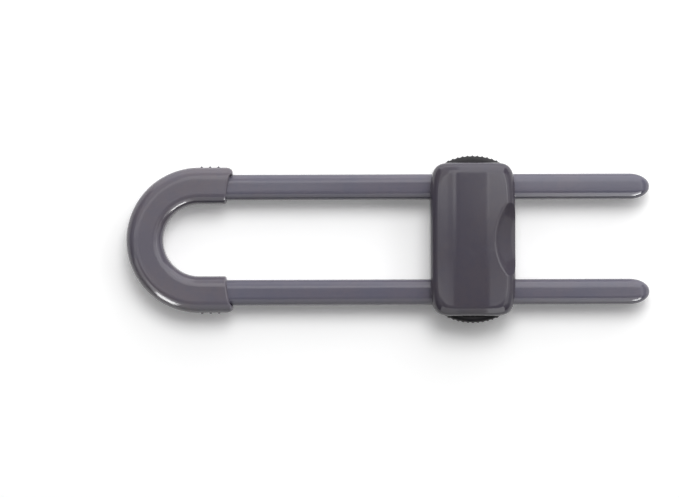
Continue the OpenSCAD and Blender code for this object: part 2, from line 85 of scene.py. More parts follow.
# Bow
BOW_WALL, SOCKET_PLAY = 2.0, 0.1
BOW_IN, BOW_OUT, BOW_HIGH, BOW_SEAM = LEG_IN - 1.3, LEG_OUT + 2.5, bow_high.z, 6.5
BOW_X, ARM_END = bow_low.x + BOW_OUT, bow_high.x
BOW_MID = (BOW_IN + BOW_OUT) / 2
BOW_ROUNDS = (2.0, 2.5, 4.1, 3.5)  # inner lower, outer lower, outer upper and inner upper edge
CAVITY_ROUNDS = (0.5, 0.5, 2.5, 1.5)
ARM_CURVE, CUFF_CORNER = 2.2, 1.7
CURVE_REACH, CURVE_LIP = 9.4, 1.3  # how far across an arm its hollow end goes, and the lip there
CURVE_STRIPS = (1.2, 2.4, 3.6, 4.8, 6, 7.2, 8, 8.8, 9.2, 9.5, 9.8)
CORNER_STRIPS = (10.1, 10.4, 10.7, 11, 11.3, 11.6, 11.9)
GRIP_X, GRIP_R, GRIP_PITCH, GRIP_COUNT = 0.967, 0.4, 2.9, 3
GRIP_LOW, GRIP_HIGH = 2.2, 9.3
SOCKET_FLARE, SOCKET_FROM = 0.28, 0.3
# Head
HEAD_X = (cover_low.x + cover_high.x) / 2
HEAD_W, HEAD_L = (cover_high.x - cover_low.x) / 2, cover_high.y
HEAD_HIGH, HEAD_SEAM, CEILING = cover_high.z, 5.0, 16.5
EDGE_ROUND, FOOT_ROUND = 3.6, 1.2
CROWN, CROWN_FLAT = 0.5, 4.6
HEAD_POWER = 7  # of the superellipse that the corners follow
HEAD_FULLNESS = 0.8203  # bevel profile of such a corner
ROOM_W, ROOM_L = HEAD_W - 1.8, HEAD_L - 1.6
HEAD_FLOOR = 1.75
SCOOP_X, SCOOP_R, SCOOP_EDGE, SCOOP_SKIN = HEAD_X + HEAD_W + 13.1, 30.0, 20.0, 2.0
SCOOP_Z = HEAD_HIGH + sqrt(SCOOP_R ** 2 - SCOOP_EDGE ** 2)
TUNNEL_PLAY, TUNNEL_FLARE, TUNNEL_FROM, TUNNEL_STRIPS = 0.25, 0.35, 0.4, range(14, 23)
WINDOW_PLAY, WINDOW_FLARE = 0.2, 0.3
YOKE_ROOM, GUIDE_T = 6.2, 1.17  # half width between the guides of a yoke, and their thickness
GUIDES_AT = (YOKE_ROOM, -YOKE_ROOM - GUIDE_T)
GUIDE_SPAN, GUIDE_LOW, FLOOR_GUIDE_SPAN = (11.8, 22.2), 11.35, (9.1, 13.15)
HOLD_L, HOLD_LOW = 6.4, 13.45  # ribs over a yoke: half length and underside
PEG_R, PEG_LOW = 1.5, 11.5
SPINE_L, SPINE_T, SPINE_HIGH = 4.8, 1.02, 9.88  # half length, half thickness and top
SPRING_BOSS_R, SPRING_BOSS_Y, SPRING_BOSS_Z = 1.7, 2.52, 6.5
# Buttons
PAD_W, PAD_BACK = (pad_high.x - pad_low.x) / 2, pad_low.y
DOME_R, PAD_TOP_ROUND, PAD_LOW_ROUND = 20.8, 1.3, 0.8
RIB_R, RIB_OUT, RIB_PITCH, RIB_FOOT = 0.45, 0.3, 1.7, 1.2
DOME_Y = pad_high.y - RIB_OUT - DOME_R
# Screws and springs
SCREW_R, SCREW_HEAD_R, SCREW_SUNK, SCREW_HEAD_H, SCREW_END = 1.0, 1.95, 0.3, 1.4, 10.0
SCREW_PLAY, PILOT_PLAY, BOSS_R, BOSS_PLAY = 0.15, 0.05, 2.5, 0.1
RECESS_L, RECESS_T, RECESS_DEEP = 1.17, 0.2, 0.9  # half length and half thickness of a slot
BOW_SCREWS = [(BOW_X - BOW_MID, 0), ((LEG_FROM + ARM_END - ARM_CURVE) / 2, LEG_MID),
              ((LEG_FROM + ARM_END - ARM_CURVE) / 2, -LEG_MID)]
HEAD_SCREW_X, HEAD_SCREW_Y = 10.7, 8.7
HEAD_SCREWS = [(HEAD_X + x, y) for x in (-HEAD_SCREW_X, HEAD_SCREW_X)
               for y in (-HEAD_SCREW_Y, HEAD_SCREW_Y)]
SPRING_LOW, SPRING_HIGH = solid("spring_left")
WIRE_R, SPRING_TURNS = 0.3, 6.5


# ---- Handling of a piece ----

def only(piece):
    """Selects one piece and nothing else."""
    bpy.ops.object.select_all(action="DESELECT")
    piece.select_set(True)
    bpy.context.view_layer.objects.active = piece


def open_up(piece, kind, wanted=None):
    """Enters edit mode and selects the corners, edges or faces that wanted() accepts, or all."""
    if bpy.context.mode != "EDIT_MESH":
        only(piece)
        bpy.ops.object.mode_set(mode="EDIT")
    bpy.ops.mesh.select_mode(type=kind)
    mesh = bmesh.from_edit_mesh(piece.data)
    parts = {"VERT": mesh.verts, "EDGE": mesh.edges, "FACE": mesh.faces}[kind]
    bpy.ops.mesh.select_all(action="DESELECT")
    for part in parts:
        part.select_set(wanted is None or bool(wanted(part)))
    mesh.select_flush_mode()
    bmesh.update_edit_mesh(piece.data)


def close_up():
    """Leaves edit mode."""
    bpy.ops.object.mode_set(mode="OBJECT")


def middle(part):
    """Middle of an edge or a face."""
    corners = part.verts
    return sum((corner.co for corner in corners), Vector()) / len(corners)


def runs(edge, axis):
    """True if an edge runs along an axis: 0, 1 or 2."""
    span = edge.verts[1].co - edge.verts[0].co
    return abs(span[axis]) > 0.999 * span.length


def new_piece(name):
    """Names the primitive that was just added, with its place in its mesh."""
    bpy.ops.object.transform_apply(location=True, rotation=True, scale=True)
    piece = bpy.context.active_object
    piece.name = piece.data.name = name
    return piece


def block(name, low, high):
    """Block between two corners."""
    bpy.ops.object.select_all(action="DESELECT")
    low, high = Vector(low), Vector(high)
    bpy.ops.mesh.primitive_cube_add(size=1, location=(low + high) / 2, scale=high - low)
    return new_piece(name)


def rod(name, radius, low, high, corners=48):
    """Round bar between two points on a line along an axis."""
    bpy.ops.object.select_all(action="DESELECT")
    low, high = Vector(low), Vector(high)
    line = high - low
    bpy.ops.mesh.primitive_cylinder_add(
        vertices=corners, radius=radius, depth=line.length, location=(low + high) / 2,
        rotation=line.to_track_quat("Z", "X").to_euler())
    return new_piece(name)


def ball(name, radius, centre, segments, rings):
    """Ball about a point."""
    bpy.ops.object.select_all(action="DESELECT")
    bpy.ops.mesh.primitive_uv_sphere_add(
        segments=segments, ring_count=rings, radius=radius, location=centre)
    return new_piece(name)


def combine(piece, tool, how, keep=False):
    """Cuts a tool out of a piece, adds it, or keeps what both share."""
    only(piece)
    step = piece.modifiers.new("step", "BOOLEAN")
    step.operation, step.object, step.solver = how, tool, "EXACT"
    bpy.ops.object.modifier_apply(modifier=step.name)
    if not keep:
        bpy.data.objects.remove(tool)


def cut(piece, *tools, keep=False):
    """Cuts tools out of a piece."""
    for tool in tools:
        combine(piece, tool, "DIFFERENCE", keep)


def add(piece, *tools):
    """Adds tools to a piece."""
    for tool in tools:
        combine(piece, tool, "UNION")


def copied(piece, name, turn=0.0, about=(0, 0), move=(0, 0, 0), mirror=False):
    """Copy with its own mesh, mirrored across the lock's middle, turned about an upright or moved."""
    only(piece)
    bpy.ops.object.duplicate(linked=False)
    copy = bpy.context.active_object
    copy.name = copy.data.name = name
    open_up(copy, "VERT")
    if mirror:
        bpy.ops.transform.resize(value=(1, -1, 1), center_override=(0, 0, 0))
        bpy.ops.mesh.flip_normals()
    turned(turn, about)
    bpy.ops.transform.translate(value=move)
    close_up()
    return copy


def turned(angle, about):
    """Turns what is selected about an upright, anticlockwise from above."""
    bpy.ops.transform.rotate(value=-angle, orient_axis="Z", center_override=(*about, 0))


def row(piece, count, step):
    """Repeats a piece along the lock."""
    only(piece)
    repeat = piece.modifiers.new("row", "ARRAY")
    repeat.count, repeat.use_relative_offset, repeat.use_constant_offset = count, False, True
    repeat.constant_offset_displace = (step, 0, 0)
    bpy.ops.object.modifier_apply(modifier=repeat.name)
    return piece


def joined(name, *pieces):
    """Several loose parts as one piece."""
    only(pieces[0])
    for piece in pieces:
        piece.select_set(True)
    bpy.ops.object.join()
    pieces[0].name = pieces[0].data.name = name
    return pieces[0]


def draw_out(axis, start, halves, levels):
    """Draws the selected faces out along an axis, through places at which their outline is inset.

    start is the middle of the faces, halves their half sizes, and an inset may be negative.
    """
    centre, now = Vector(start), 0.0
    for place, inset in levels:
        step = Vector()
        step[axis] = place - centre[axis]
        bpy.ops.mesh.extrude_region_move(TRANSFORM_OT_translate={"value": step})
        centre[axis] = place
        drawn = [(half - inset) / (half - now) for half in halves]
        drawn[axis] = 1
        bpy.ops.transform.resize(value=drawn, center_override=centre)
        now = inset


def quarter(start, radius, steps):
    """Places and insets of a rounded rim that begins at a place and ends at right angles to it."""
    turns = [pi / 2 * n / steps for n in range(1, steps + 1)]
    return [(start + radius * sin(turn), radius * (1 - cos(turn))) for turn in turns]


def round_edges(piece, radius, wanted, segments=3):
    """Rounds the edges that wanted() accepts."""
    open_up(piece, "EDGE", wanted)
    bpy.ops.mesh.bevel(offset=radius, segments=segments, profile=0.5, clamp_overlap=False)
    close_up()


def section(name, x, y_low, y_high, z_low, z_high):
    """Flat oblong that stands across the lock."""
    bpy.ops.object.select_all(action="DESELECT")
    place = (x, (y_low + y_high) / 2, (z_low + z_high) / 2)
    bpy.ops.mesh.primitive_plane_add(size=1, location=place, rotation=(0, pi / 2, 0))
    piece = new_piece(name)
    open_up(piece, "VERT")
    bpy.ops.transform.resize(value=(1, y_high - y_low, z_high - z_low), center_override=place)
    close_up()
    return piece


def swept(piece, angle, centre, steps):
    """Sweeps a section round an upright through a point."""
    open_up(piece, "VERT")
    bpy.ops.mesh.spin(steps=steps, angle=-angle, center=centre, axis=(0, 0, 1))
    bpy.ops.mesh.select_all(action="SELECT")
    bpy.ops.mesh.remove_doubles(threshold=0.001)
    bpy.ops.mesh.normals_make_consistent(inside=False)
    close_up()
    return piece


def round_corner(piece, radius, y, z, segments):
    """Rounds one corner of a flat section that stands across the lock."""
    open_up(piece, "VERT", lambda v: hypot(v.co.y - y, v.co.z - z) < 0.01)
    bpy.ops.mesh.bevel(offset=radius, segments=segments, profile=0.5, affect="VERTICES",
                       clamp_overlap=False)
    close_up()


def split_off(piece, name, z, upper):
    """The part of a piece above or below a seam, with a closed face there."""
    half = copied(piece, name)
    open_up(half, "VERT")
    bpy.ops.mesh.bisect(plane_co=(0, 0, z), plane_no=(0, 0, 1), use_fill=True,
                        clear_inner=upper, clear_outer=not upper)
    close_up()
    return half


def seam_edge(z):
    """Picks the outer edges of a seam face at a height."""
    def wanted(edge):
        flat = [abs(face.normal.z) > 0.99 and abs(middle(face).z - z) < 0.01
                for face in edge.link_faces]
        return all(abs(corner.co.z - z) < 0.01 for corner in edge.verts) and sum(flat) == 1
    return wanted


SHARP = 34  # degrees between two faces past which their edge isn't smoothed
settled = []


def settle(piece, body, slot, *nodes):
    """Brings a finished piece to metres, smooths it, and says what it moves with and stands for."""
    only(piece)
    piece.scale = (0.001, 0.001, 0.001)
    bpy.ops.object.transform_apply(location=True, rotation=True, scale=True)
    bpy.ops.object.shade_smooth_by_angle(angle=radians(SHARP))
    even = piece.modifiers.new("even", "WEIGHTED_NORMAL")
    even.keep_sharp, even.mode = True, "FACE_AREA"
    bpy.ops.object.modifier_apply(modifier=even.name)
    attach(piece, body)
    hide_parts(*nodes)
    settled.append((piece, slot))


# ---- Legs ----

def leg():
    """Left leg: a rounded bar with a blunt nose, a ratchet on its inner side and hollows below."""
    piece = block("rail_left", (LEG_FROM, LEG_IN, LEG_LOW), (TIP_X - NOSE, LEG_OUT, LEG_TOP))
    mid_z = LEG_LOW + LEG_HALF_H
    round_edges(piece, TOP_ROUND, lambda e: runs(e, 0) and middle(e).z > mid_z, 10)
    round_edges(piece, LOW_ROUND, lambda e: runs(e, 0) and middle(e).z < LEG_LOW + 0.1, 5)
    open_up(piece, "FACE", lambda f: f.normal.x > 0.9)
    x, wide, high = TIP_X - NOSE, 1.0, 1.0
    for step in range(1, 17):
        next_x = TIP_X - NOSE + NOSE * sin(pi / 2 * step / 16)
        next_wide = cos(pi / 2 * step / 16)
        next_high = sqrt(max(0, 1 - max(0, (next_x - TIP_X + NOSE_SIDE) / NOSE_SIDE) ** 2))
        bpy.ops.mesh.extrude_region_move(TRANSFORM_OT_translate={"value": (next_x - x, 0, 0)})
        bpy.ops.transform.resize(value=(1, next_wide / wide, next_high / high),
                                 center_override=(next_x, LEG_MID, mid_z))
        x, wide, high = next_x, next_wide, next_high
    open_up(piece, "VERT")
    bpy.ops.mesh.remove_doubles(threshold=0.001)
    close_up()

    valley = block("valley", (RACK_FROM + TOOTH_LAND, LEG_IN - 1, LEG_LOW - 1),
                   (RACK_FROM + TOOTH_PITCH, LEG_IN + TOOTH_DEPTH, LEG_LOW + RACK_HIGH))
    open_up(valley, "VERT", lambda v: v.co.x < RACK_FROM + 1 and v.co.y > LEG_IN)
    bpy.ops.transform.translate(value=(0, -TOOTH_DEPTH, 0))
    close_up()
    cut(piece, row(valley, TOOTH_COUNT, TOOTH_PITCH))

    hollow_from, roof = ARM_END + HOLLOW_WALL, LEG_TOP - HOLLOW_ROOF
    hollow = block("hollow", (hollow_from, LEG_IN + TOOTH_DEPTH + HOLLOW_WALL, LEG_LOW - 1),
                   (hollow_from + HOLLOW_LEN, LEG_OUT - HOLLOW_WALL, roof))
    round_edges(hollow, 0.7, lambda e: runs(e, 2), 4)
    round_edges(hollow, 0.4, lambda e: all(c.co.z > roof - 0.01 for c in e.verts)
                and any(f.normal.z < 0.5 for f in e.link_faces), 2)
    cut(piece, row(hollow, HOLLOW_COUNT, HOLLOW_LEN + HOLLOW_WEB))
    cut(piece, rod("boss_hole", BOSS_R + BOSS_PLAY, (*BOW_SCREWS[1], 0), (*BOW_SCREWS[1], BOW_HIGH)))
    only(piece)
    soften = piece.modifiers.new("soften", "BEVEL")
    soften.width, soften.segments, soften.limit_method = 0.1, 2, "ANGLE"
    soften.angle_limit = radians(38)
    bpy.ops.object.modifier_apply(modifier=soften.name)
    return piece


def mouth(place, flare):
    """Places and insets of a rounded mouth that is entered at a place, towards lower values."""
    turns = [radians(22.5 * n) for n in range(1, 5)]
    return [(place, 0)] + [(place - flare * (1 - cos(turn)), flare * sin(turn)) for turn in turns]


def passage(name, start, end, play, flare, strips, levels):
    """Cutter that a leg fits through, cut into strips along Y and drawn out towards -X."""
    piece = block(name, (start, LEG_IN - play - flare, LEG_LOW - play - flare),
                  (end, LEG_OUT + play + flare, LEG_TOP + play + flare))
    mid_z = LEG_LOW + LEG_HALF_H
    round_edges(piece, TOP_ROUND + play + flare, lambda e: runs(e, 0) and middle(e).z > mid_z, 10)
    round_edges(piece, LOW_ROUND + play + flare, lambda e: runs(e, 0) and middle(e).z < mid_z, 5)
    for y in strips:
        open_up(piece, "FACE")
        bpy.ops.mesh.bisect(plane_co=(0, y, 0), plane_no=(0, 1, 0))
    open_up(piece, "FACE", lambda f: f.normal.x < -0.9)
    draw_out(0, (start, LEG_MID, mid_z),
             (1, LEG_HALF_W + play + flare, LEG_HALF_H + play + flare), levels)
    close_up()
    return piece


# ---- Bow ----

def bow_section(name, wall, rounds, strips=()):
    """Upright section of the bow where its bend begins, on the left side."""
    low, high, into, out = wall, BOW_HIGH - wall, BOW_IN + wall, BOW_OUT - wall
    piece = section(name, BOW_X, into, out, low, high)
    for radius, y, z in zip(rounds, (into, out, out, into), (low, low, high, high)):
        round_corner(piece, radius, y, z, 9)
    for y in strips:
        open_up(piece, "VERT")
        bpy.ops.mesh.bisect(plane_co=(0, y, 0), plane_no=(0, 1, 0))
        close_up()
    return piece


def arm_end(y):
    """How far the end of an arm draws back at a distance from the lock's middle."""
    width = BOW_OUT - BOW_IN
    radius = (width ** 2 + ARM_CURVE ** 2) / (2 * ARM_CURVE)
    reach = min(max(abs(y) - BOW_IN, 0), CURVE_REACH)
    hollow = ARM_CURVE - radius + sqrt(radius ** 2 - reach ** 2)
    lip = min(max((abs(y) - BOW_IN - CURVE_REACH) / CURVE_LIP, 0), 1)
    past = min(max(abs(y) - BOW_OUT + CUFF_CORNER, 0), CUFF_CORNER)
    corner = CUFF_CORNER - sqrt(CUFF_CORNER ** 2 - past ** 2)
    return -hollow * (1 - lip * lip * (3 - 2 * lip)) - corner


def slide_along(piece, wanted, shift):
    """Moves corners of a piece along the lock by a distance that depends on their place."""
    for corner in piece.data.vertices:
        if wanted(corner.co):
            corner.co.x += shift(corner.co)


def bow_form():
    """The whole bow as one solid, with rounded arm ends and grip ribs."""
    strips = [BOW_IN + strip for strip in CURVE_STRIPS + CORNER_STRIPS]
    piece = swept(bow_section("bow", 0, BOW_ROUNDS, strips), pi, (BOW_X, 0, 0), 72)
    edge = 0.85
    for side in (1, -1):
        open_up(piece, "FACE", lambda f: f.normal.x > 0.9 and side * middle(f).y > 0
                and middle(f).x > BOW_X - 0.01)
        draw_out(0, (BOW_X, side * BOW_MID, BOW_HIGH / 2), (1, BOW_OUT - BOW_MID, BOW_HIGH / 2),
                 [(ARM_END - edge, 0)] + quarter(ARM_END - edge, edge, 5))
        close_up()
    slide_along(piece, lambda p: p.x > ARM_END - edge - 0.01, lambda p: arm_end(p.y))
    rib_x = BOW_X + GRIP_X
    rib = rod("rib", GRIP_R, (rib_x, BOW_OUT, GRIP_LOW), (rib_x, BOW_OUT, GRIP_HIGH), 20)
    round_edges(rib, GRIP_R - 0.01, lambda e: abs(e.verts[0].co.z - e.verts[1].co.z) < 0.01, 4)
    ribs = row(rib, GRIP_COUNT, GRIP_PITCH)
    add(piece, copied(ribs, "ribs_right", mirror=True), ribs)
    return piece


def socket():
    """Cutter of a leg's socket in the left arm, flared at its mouth."""
    piece = passage("socket", ARM_END + SOCKET_FROM, ARM_END + 4, SOCKET_PLAY, SOCKET_FLARE,
                    [BOW_IN + strip for strip in CURVE_STRIPS[1:]],
                    mouth(ARM_END, SOCKET_FLARE) + [(ARM_END - 1.3, SOCKET_FLARE)])
    slide_along(piece, lambda p: p.x < ARM_END + 0.5,
                lambda p: arm_end(min(abs(p.y), BOW_IN + CURVE_REACH)))
    open_up(piece, "FACE", lambda f: f.normal.x < -0.9)
    bpy.ops.transform.resize(value=(0, 1, 1), center_override=(
        LEG_FROM - SOCKET_PLAY, LEG_MID, LEG_LOW + LEG_HALF_H))
    close_up()
    return piece


def screw_holes(places):
    """Cutters of the counterbores and shank holes in a lower shell."""
    tools = []
    for n, (x, y) in enumerate(places):
        tools.append(rod(f"seat{n}", SCREW_HEAD_R + SCREW_PLAY, (x, y, -1),
                         (x, y, SCREW_SUNK + SCREW_HEAD_H), 44))
        tools.append(rod(f"shank{n}", SCREW_R + SCREW_PLAY, (x, y, -1), (x, y, 12)))
    return tools


def pilots(places, low):
    """Cutters of the pilot holes in an upper shell."""
    return [rod(f"pilot{n}", SCREW_R + PILOT_PLAY, (x, y, low), (x, y, SCREW_END + 0.4), 32)
            for n, (x, y) in enumerate(places)]


def bosses(places, low, high):
    """Round bosses around the screws."""
    return [rod(f"boss{n}", BOSS_R, (x, y, low), (x, y, high)) for n, (x, y) in enumerate(places)]


def bow_shells():
    """Upper and lower shell of the bow, hollow in the bend and with a socket in each arm."""
    form = bow_form()
    cover = split_off(form, "bow_cover_shell", BOW_SEAM, True)
    base = split_off(form, "bow_base_shell", BOW_SEAM, False)
    bpy.data.objects.remove(form)
    left = socket()
    right = copied(left, "socket_right", mirror=True)
    cavity = swept(bow_section("cavity", BOW_WALL, CAVITY_ROUNDS), pi, (BOW_X, 0, 0), 72)
    for shell in (cover, base):
        round_edges(shell, 0.12, seam_edge(BOW_SEAM), 2)
        cut(shell, left, right, cavity, keep=True)
    for tool in (left, right, cavity):
        bpy.data.objects.remove(tool)
    add(cover, *bosses(BOW_SCREWS, 5, BOW_HIGH - 0.4))
    cut(cover, *pilots(BOW_SCREWS, 4))
    add(base, *bosses(BOW_SCREWS, 0.4, 5))
    cut(base, *screw_holes(BOW_SCREWS))
    return cover, base


# ---- Head ----

def plate(name, half_w, half_l, z, segments=44):
    """Flat plate with the head's outline, a rounded oblong with slightly bulging sides."""
    bpy.ops.object.select_all(action="DESELECT")
    bpy.ops.mesh.primitive_plane_add(size=2, location=(HEAD_X, 0, z))
    piece = new_piece(name)
    open_up(piece, "VERT")
    bpy.ops.mesh.bevel(offset=1, segments=segments, profile=HEAD_FULLNESS, affect="VERTICES",
                       clamp_overlap=False)
    bpy.ops.mesh.select_all(action="SELECT")
    bpy.ops.mesh.remove_doubles(threshold=0.001)
    bpy.ops.transform.resize(value=(half_w, half_l, 1), center_override=(HEAD_X, 0, z))
    close_up()
    return piece


def raised(piece, half_w, half_l, z, levels):
    """Raises a plate to a solid, through heights at which its outline is drawn in."""
    open_up(piece, "FACE")
    draw_out(2, (HEAD_X, 0, z), (half_w, half_l, 1), levels)
    open_up(piece, "FACE")
    bpy.ops.mesh.normals_make_consistent(inside=False)
    close_up()
    return piece


def crown_drop(depth):
    """How far the head's top falls from its flat middle at a depth inside its long sides."""
    width = HEAD_W - EDGE_ROUND - CROWN_FLAT
    past = max(EDGE_ROUND - depth, 0)
    share = min(max((depth - EDGE_ROUND) / width, 0), 1)
    return CROWN * (1 - share) ** 2 + 2 * CROWN / width * (past - past * past / (2 * EDGE_ROUND))


def scoop_cutter():
    """Cutter of the thumb scoop: the bottom of a ball, flared at its rim."""
    top = HEAD_HIGH
    piece = ball("scoop", SCOOP_R, (SCOOP_X, 0, SCOOP_Z), 240, 150)
    open_up(piece, "VERT")
    bpy.ops.mesh.bisect(plane_co=(0, 0, top), plane_no=(0, 0, 1), clear_outer=True)
    open_up(piece, "EDGE", lambda e: e.is_boundary)
    bpy.ops.mesh.extrude_edges_move(TRANSFORM_OT_translate={"value": (0, 0, 0.03)})
    bpy.ops.transform.resize(value=(1.15, 1.15, 1), center_override=(SCOOP_X, 0, top))
    bpy.ops.mesh.extrude_edges_move(TRANSFORM_OT_translate={"value": (0, 0, 8)})
    bpy.ops.mesh.edge_face_add()
    open_up(piece, "FACE")
    bpy.ops.mesh.normals_make_consistent(inside=False)
    close_up()
    round_edges(piece, 0.55, lambda e: all(
        abs(hypot(c.co.x - SCOOP_X, c.co.y) - SCOOP_EDGE) < 0.01 and abs(c.co.z - top) < 0.005
        for c in e.verts), 5)
    return piece


def head_form():
    """The whole head as one solid, with its rounded edges, its crowned top and its scoop."""
    edge = HEAD_HIGH - EDGE_ROUND
    low = [(FOOT_ROUND * (1 - cos(turn)), FOOT_ROUND - FOOT_ROUND * sin(turn))
           for turn in (radians(18 * n) for n in range(1, 6))]
    high = [(edge + EDGE_ROUND * sin(turn), EDGE_ROUND * (1 - cos(turn)))
            for turn in (radians(8.4 * n) for n in range(0, 11))]
    flat = [(HEAD_HIGH, EDGE_ROUND + 0.55 * n) for n in range(0, 17)]
    start_w, start_l = HEAD_W - FOOT_ROUND, HEAD_L - FOOT_ROUND
    piece = raised(plate("head", start_w, start_l, 0), start_w, start_l, 0,
                   [(z, inset - FOOT_ROUND) for z, inset in low + high + flat])
    cut(piece, scoop_cutter())
    for corner in piece.data.vertices:
        if corner.co.z > HEAD_SEAM + 1:
            lift = min((corner.co.z - HEAD_SEAM - 1) / (edge - HEAD_SEAM - 1), 1)
            corner.co.z -= lift * crown_drop(HEAD_W - abs(corner.co.x - HEAD_X))
    return piece


def outline_at(across):
    """Half width of the head at a distance along it, seen from above."""
    return HEAD_W * (1 - min(abs(across) / HEAD_L, 1) ** HEAD_POWER) ** (1 / HEAD_POWER)


def tunnel():
    """Cutter of a leg's passage on the left of the head, flared at its mouth on the +X side."""
    piece = passage("tunnel", HEAD_X + TUNNEL_FROM, HEAD_X + 5, TUNNEL_PLAY, TUNNEL_FLARE,
                    TUNNEL_STRIPS, mouth(HEAD_X, TUNNEL_FLARE) + [(HEAD_X - 4, TUNNEL_FLARE)])
    slide_along(piece, lambda p: True, lambda p: outline_at(p.y))
    return piece


def window():
    """Cutter of a button's window in the left end of the head, flared outwards."""
    low, high, half = pad_low.z - WINDOW_PLAY, pad_high.z + WINDOW_PLAY, PAD_W + WINDOW_PLAY
    start, flare = HEAD_L - 0.05, WINDOW_FLARE
    piece = block("window", (HEAD_X - half - flare, start, low - flare),
                  (HEAD_X + half + flare, HEAD_L + 3, high + flare))
    round_edges(piece, 0.5 + flare, lambda e: runs(e, 1), 4)
    open_up(piece, "FACE", lambda f: f.normal.y < -0.9)
    draw_out(1, (HEAD_X, start, (low + high) / 2), (half + flare, 1, (high - low) / 2 + flare),
             mouth(start, flare)[1:] + [(HEAD_L - 2.6, flare)])
    close_up()
    return piece


def upper_room():
    """Cutter of the room inside the upper shell, less its bosses, pegs and ribs."""
    low, edge = HEAD_SEAM - 1, 1.8
    levels = [(CEILING - edge + edge * sin(radians(18 * n)), edge * (1 - cos(radians(18 * n))))
              for n in range(0, 6)]
    piece = raised(plate("upper_room", ROOM_W, ROOM_L, low, 20), ROOM_W, ROOM_L, low, levels)
    over = CEILING + 1
    cut(piece, ball("skin", SCOOP_R + SCOOP_SKIN, (SCOOP_X, 0, SCOOP_Z), 96, 48),
        *bosses(HEAD_SCREWS, HEAD_SEAM, over))
    for side in (1, -1):
        near, far = sorted(side * y for y in GUIDE_SPAN)
        for x in GUIDES_AT:
            cut(piece, block("guide", (HEAD_X + x, near, GUIDE_LOW), (HEAD_X + x + GUIDE_T, far, over)))
        for y in (LEG_IN, LEG_OUT - 3):
            near, far = sorted((side * y, side * (y + GUIDE_T)))
            cut(piece, block("hold", (HEAD_X - HOLD_L, near, HOLD_LOW), (HEAD_X + HOLD_L, far, over)))
        peg_y = side * LEG_MID
        cut(piece, rod("peg", PEG_R, (HEAD_X, peg_y, PEG_LOW), (HEAD_X, peg_y, over), 32))
    return piece


def lower_room():
    """Cutter of the room inside the lower shell."""
    return raised(plate("lower_room", ROOM_W, ROOM_L, HEAD_FLOOR, 20), ROOM_W, ROOM_L, HEAD_FLOOR,
                  [(HEAD_SEAM + 1, 0)])


def spine():
    """What stands on the head's floor: a spine that holds the springs, and guides of the pawls."""
    foot = HEAD_FLOOR - 0.4
    wall = block("spine", (HEAD_X - SPINE_L, -SPINE_T, foot), (HEAD_X + SPINE_L, SPINE_T, SPINE_HIGH))
    round_edges(wall, 0.3, lambda e: runs(e, 0) and middle(e).z > 9, 3)
    boss = rod("spring_boss", SPRING_BOSS_R, (HEAD_X, -SPRING_BOSS_Y, SPRING_BOSS_Z),
               (HEAD_X, SPRING_BOSS_Y, SPRING_BOSS_Z), 32)
    round_edges(boss, 0.3, lambda e: abs(e.verts[0].co.y - e.verts[1].co.y) < 0.01, 2)
    parts = [wall, boss]
    for side in (1, -1):
        near, far = sorted(side * y for y in FLOOR_GUIDE_SPAN)
        for x in GUIDES_AT:
            parts.append(block("floor_guide", (HEAD_X + x, near, foot),
                               (HEAD_X + x + GUIDE_T, far, HEAD_SEAM)))
    return parts


def head_shells():
    """Upper and lower shell of the head."""
    form = head_form()
    cover = split_off(form, "head_cover_shell", HEAD_SEAM, True)
    base = split_off(form, "head_base_shell", HEAD_SEAM, False)
    bpy.data.objects.remove(form)
    right_out = tunnel()
    tunnels = [right_out, copied(right_out, "tunnel2", mirror=True)]
    tunnels += [copied(tool, tool.name + "_back", turn=pi, about=(HEAD_X, 0)) for tool in tunnels]
    windows = [window()]
    windows.append(copied(windows[0], "window2", mirror=True))
    for shell, room in ((cover, upper_room()), (base, lower_room())):
        round_edges(shell, 0.12, seam_edge(HEAD_SEAM), 2)
        cut(shell, room)
        cut(shell, *tunnels, *windows, keep=True)
    for tool in tunnels + windows:
        bpy.data.objects.remove(tool)
    cut(cover, *pilots(HEAD_SCREWS, HEAD_SEAM - 1))
    add(base, *bosses(HEAD_SCREWS, HEAD_FLOOR - 0.4, HEAD_SEAM), *spine())
    cut(base, *screw_holes(HEAD_SCREWS))
    return cover, base


# ---- Buttons ----

